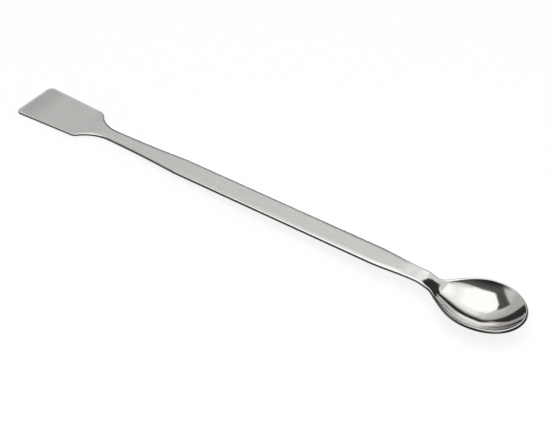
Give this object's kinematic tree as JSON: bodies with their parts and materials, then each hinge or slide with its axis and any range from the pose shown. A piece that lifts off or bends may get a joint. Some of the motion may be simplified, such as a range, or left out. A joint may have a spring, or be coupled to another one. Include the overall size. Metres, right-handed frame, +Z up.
{
  "type": "lab spatula",
  "caption": "One-piece steel laboratory spatula with a flat square-ended blade, a slim flat handle and a wide, egg-shaped scoop spoon.",
  "frame": {"origin": "centre of the part's box at its lowest plane, which is the table it rests on", "axes": "+X along the handle toward the spoon, +Y across the handle, +Z up out of the open side of the bowl"},
  "size_m": [0.2, 0.024, 0.0074],
  "materials": {
    "steel": "polished stainless steel with a fine grain along the handle"
  },
  "bodies": {
    "root": {"spatula": "steel"}
  },
  "joints": []
}
